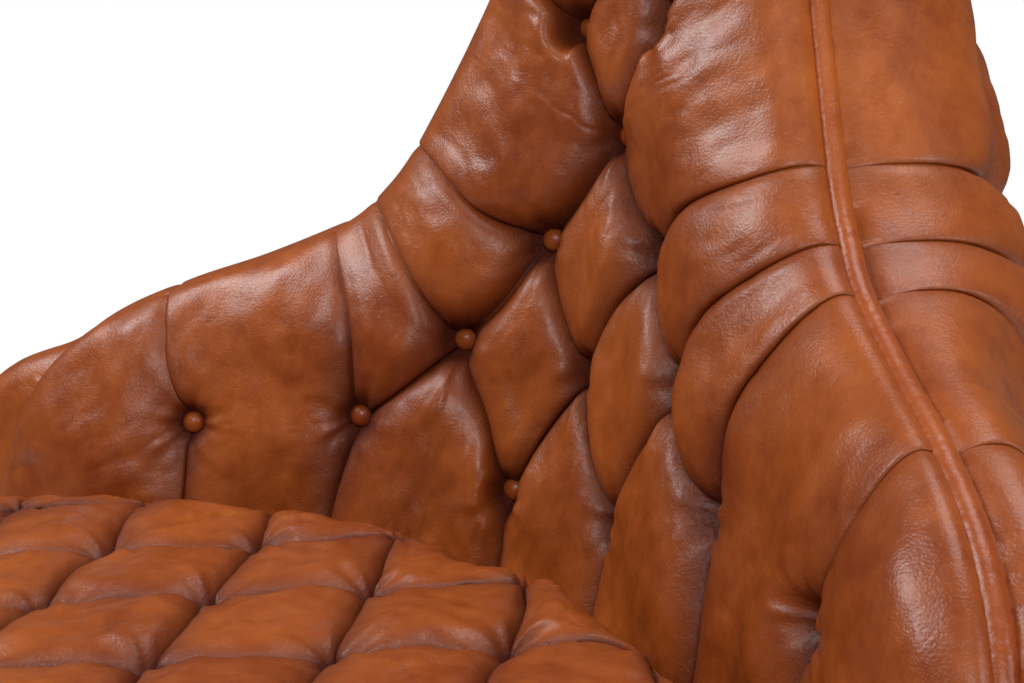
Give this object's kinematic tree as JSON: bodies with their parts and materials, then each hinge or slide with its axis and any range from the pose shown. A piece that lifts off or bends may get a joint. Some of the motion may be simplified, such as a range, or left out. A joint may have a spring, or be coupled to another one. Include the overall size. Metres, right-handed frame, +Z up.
{
  "type": "upholstered armchair",
  "caption": "Low wide armchair with deep-buttoned leather seat, splayed arms sweeping up into a tall narrow back, corded crest and turned wooden legs.",
  "frame": {"origin": "on the floor, at the middle of the chair's footprint box", "axes": "+Z up, the sitter faces -Y, +X is to the right when looking along +Y; the chair is symmetric about X = 0"},
  "size_m": [1.0536, 0.9374, 0.9811],
  "materials": {
    "leather": "burnished tan aniline leather, satin",
    "leather_trim": "the same leather over cord and button moulds, slightly darker",
    "frame_wood": "plain sawn beech",
    "leg_wood": "dark stained, satin polish",
    "steel": "bright drawn steel",
    "hessian": "plain woven hessian",
    "webbing": "flat woven webbing",
    "black_cloth": "thin black bottoming cloth"
  },
  "bodies": {
    "root": {"arm_front_post_left": "frame_wood", "arm_front_post_right": "frame_wood", "arm_rail_left": "frame_wood", "arm_rail_right": "frame_wood", "back_post_left": "frame_wood", "back_post_right": "frame_wood", "back_rail": "frame_wood", "back_webbing_1": "webbing", "back_webbing_2": "webbing", "back_webbing_3": "webbing", "button_a0": "leather_trim", "button_a10": "leather_trim", "button_a2": "leather_trim", "button_a4": "leather_trim", "button_a6": "leather_trim", "button_a8": "leather_trim", "button_b3": "leather_trim", "button_b5": "leather_trim", "button_b7": "leather_trim", "button_c4": "leather_trim", "button_c6": "leather_trim", "button_d5": "leather_trim", "button_e4": "leather_trim", "button_e6": "leather_trim", "button_f5": "leather_trim", "corner_block_left": "frame_wood", "corner_block_right": "frame_wood", "crest_piping": "leather_trim", "crest_rail": "frame_wood", "dust_cover": "black_cloth", "front_border": "leather", "front_rail": "frame_wood", "glide_front_left": "steel", "glide_front_right": "steel", "glide_rear_left": "steel", "glide_rear_right": "steel", "inner_arm_pad_left": "leather", "inner_arm_pad_right": "leather", "inner_back_pad": "leather", "leg_front_left": "leg_wood", "leg_front_right": "leg_wood", "leg_rear_left": "leg_wood", "leg_rear_right": "leg_wood", "outer_arm_pad_left": "leather", "outer_arm_pad_right": "leather", "outer_back_pad": "leather", "seat_deck": "hessian", "seat_pad": "leather", "seat_spring_1": "steel", "seat_spring_2": "steel", "seat_spring_3": "steel", "seat_spring_4": "steel", "seat_spring_5": "steel", "side_border_left": "leather", "side_border_right": "leather", "side_rail_left": "frame_wood", "side_rail_right": "frame_wood", "wing_rail_left": "frame_wood", "wing_rail_right": "frame_wood"}
  },
  "joints": []
}
